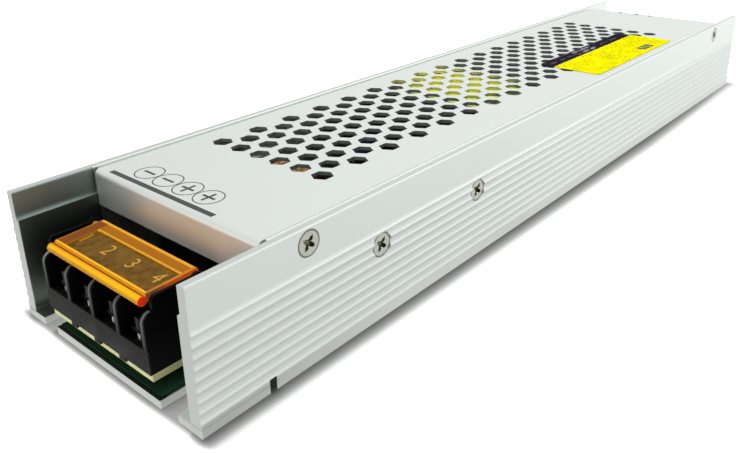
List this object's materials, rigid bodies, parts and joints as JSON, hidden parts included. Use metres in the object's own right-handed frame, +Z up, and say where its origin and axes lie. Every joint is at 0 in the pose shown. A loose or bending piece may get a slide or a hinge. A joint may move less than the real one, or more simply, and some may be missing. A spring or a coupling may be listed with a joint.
{
  "type": "slim led power supply",
  "caption": "Long flat enclosed power supply: ribbed aluminium channel, hexagon-perforated folded cover, and at each end a screw terminal block under a hinged amber lid.",
  "frame": {"origin": "middle of the channel's base plane", "axes": "+X along the channel from the output end to the input end, +Y to the left wall seen from the output end, +Z up"},
  "size_m": [0.249, 0.0532, 0.026],
  "materials": {
    "anodised_aluminium": "satin, drawn lengthwise",
    "cover_sheet": "satin sheet",
    "nickel_steel": "nickel plated",
    "label_film": "printed film",
    "green_film": "fibre sheet",
    "circuit_board": "laminate",
    "brass_studs": "turned",
    "black_moulding": "moulded, fine grain",
    "tinned_brass": "tin plated",
    "dark_zinc": "black zinc plated",
    "amber_plastic": "translucent moulding",
    "device_epoxy": "moulded epoxy",
    "heat_pad": "silicone",
    "ferrite": "sintered",
    "dark_former": "moulded",
    "yellow_tape": "polyester tape",
    "can_sleeve": "shrink sleeve",
    "enamelled_copper": "enamelled wire",
    "film_box": "moulded box",
    "fuse_glass": "glass tube with nickel caps",
    "disc_coat": "dipped",
    "blue_coat": "dipped",
    "white_epoxy": "moulded epoxy"
  },
  "bodies": {
    "case": {"channel_body": "anodised_aluminium", "top_cover": "cover_sheet", "cover_screws": "nickel_steel", "rating_label": "label_film", "insulating_sheet": "green_film", "main_board": "circuit_board", "board_standoffs": "brass_studs", "board_screws": "nickel_steel", "output_block": "black_moulding", "output_plates": "dark_zinc", "output_washers": "dark_zinc", "output_clamp_screws": "dark_zinc", "input_block": "black_moulding", "input_plates": "dark_zinc", "input_washers": "dark_zinc", "input_clamp_screws": "dark_zinc", "rectifiers": "device_epoxy", "rectifier_pad": "heat_pad", "rectifier_clamp": "nickel_steel", "rectifier_screws": "nickel_steel", "transistors": "device_epoxy", "transistor_pad": "heat_pad", "transistor_clamp": "nickel_steel", "transistor_screws": "nickel_steel", "transformer_core": "ferrite", "transformer_former": "dark_former", "transformer_winding": "yellow_tape", "output_capacitors": "can_sleeve", "output_choke_rod": "ferrite", "output_choke_winding": "enamelled_copper", "bulk_capacitors": "can_sleeve", "line_choke_ring": "ferrite", "line_choke_windings": "enamelled_copper", "line_choke_base": "dark_former", "line_filter_capacitor": "film_box", "bridge_rectifier": "device_epoxy", "fuse": "fuse_glass", "fuse_clips": "tinned_brass", "surge_limiter": "disc_coat", "safety_capacitors": "blue_coat", "signal_couplers": "white_epoxy", "control_chip": "device_epoxy"},
    "output_cap": {"output_lid": "amber_plastic"},
    "input_cap": {"input_lid": "amber_plastic"}
  },
  "joints": [
    {"name": "output_lid_hinge", "type": "hinge", "parent": "case", "child": "output_cap", "pos_m": [-0.1136, 0.002, 0.0178], "axis": [0, 1, 0], "range_deg": [0, 95]},
    {"name": "input_lid_hinge", "type": "hinge", "parent": "case", "child": "input_cap", "pos_m": [0.1136, 0.002, 0.0178], "axis": [0, -1, 0], "range_deg": [0, 95]}
  ]
}
